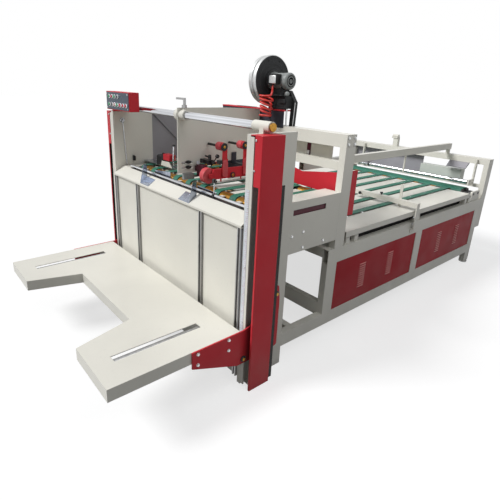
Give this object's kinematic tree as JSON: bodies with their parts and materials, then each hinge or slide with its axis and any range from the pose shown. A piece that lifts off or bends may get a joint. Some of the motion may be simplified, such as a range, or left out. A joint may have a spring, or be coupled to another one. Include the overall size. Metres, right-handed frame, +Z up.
{
  "type": "folder gluer",
  "caption": "Belt-fed machine for folding and gluing carton blanks, with a fork lift table at the feed end, gantries and a slotted delivery deck.",
  "frame": {"origin": "on the floor, at the middle of the footprint", "axes": "+Y from the feed end to the delivery end, +X to the right seen from the feed end, +Z up"},
  "size_m": [1.69, 3.855, 1.788],
  "materials": {
    "cream_paint": "satin powder coat",
    "red_paint": "satin powder coat",
    "dark_red_paint": "satin powder coat",
    "grey_paint": "satin powder coat",
    "panel_blue": "satin powder coat",
    "bare_steel": "brushed",
    "stainless": "polished",
    "black_steel": "matte black",
    "chrome": "mirror",
    "brass": "machined",
    "green_belt": "ribbed",
    "black_rubber": "smooth",
    "pale_paint": "satin powder coat",
    "red_rubber": "smooth",
    "black_plastic": "matte",
    "button_plastic": "gloss",
    "white_strip": "gloss"
  },
  "bodies": {
    "frame": {"side_walls": "cream_paint", "lift_rails": "cream_paint", "lift_covers": "red_paint", "scale_strip": "white_strip", "front_panels": "cream_paint", "vertical_guide_rails": "bare_steel", "front_apron": "cream_paint", "feeder_cross_frame": "cream_paint", "feed_table": "cream_paint", "feed_belts": "green_belt", "feed_pulleys": "brass", "front_rod": "chrome", "rod_saddles": "black_steel", "side_guides": "stainless", "cross_tube": "chrome", "tube_sleeves": "cream_paint", "tube_end_caps": "brass", "control_box": "red_paint", "control_panel": "panel_blue", "push_buttons": "button_plastic", "base_frame": "cream_paint", "levelling_feet": "bare_steel", "side_panels": "red_paint", "rear_guard": "grey_paint", "edge_gauge": "black_steel", "front_gantry": "cream_paint", "end_gantry": "cream_paint", "link_sides": "cream_paint", "deck_sheets": "cream_paint", "deck_belts": "green_belt", "deck_pulleys": "brass", "wide_belt": "green_belt", "wide_rollers": "black_rubber", "end_hood": "grey_paint", "end_box": "pale_paint", "deck_brackets": "cream_paint", "long_guide_beam": "cream_paint", "cross_guide": "cream_paint", "fold_guards": "red_paint", "blower": "grey_paint", "air_box_lid": "red_paint", "motor_cable": "red_rubber", "motor_cable_coil": "red_rubber", "blower_stand": "grey_paint"},
    "lift": {"lift_table": "cream_paint", "slot_runners": "bare_steel", "carriage_plates": "red_paint", "carriage_rollers": "bare_steel"},
    "partition": {"partition_plate": "cream_paint", "partition_hubs": "cream_paint", "press_beam": "red_paint", "press_arms": "red_paint", "press_rollers": "red_rubber", "press_handles": "black_plastic", "glue_pot": "dark_red_paint"},
    "press_wheel_body": {"press_wheel": "red_rubber"},
    "lock_lever_body": {"lock_lever": "bare_steel"},
    "roller_body": {"delivery_roller": "chrome"}
  },
  "joints": [
    {"name": "lift_slide", "type": "slide", "parent": "frame", "child": "lift", "axis": [0, 0, 1], "range_m": [-0.14, 0.5]},
    {"name": "partition_slide", "type": "slide", "parent": "frame", "child": "partition", "axis": [1, 0, 0], "range_m": [-0.28, 0.06]},
    {"name": "lock_lever_turn", "type": "hinge", "parent": "partition", "child": "lock_lever_body", "pos_m": [0.048, -1.0605, 1.44], "axis": [0, 0, 1], "range_deg": [-60, 60]},
    {"name": "press_wheel_spin", "type": "hinge", "parent": "partition", "child": "press_wheel_body", "pos_m": [0.125, -0.9565, 1.054], "axis": [1, 0, 0], "continuous": true},
    {"name": "delivery_roller_spin", "type": "hinge", "parent": "frame", "child": "roller_body", "pos_m": [0, 1.7425, 0.795], "axis": [1, 0, 0], "continuous": true}
  ]
}
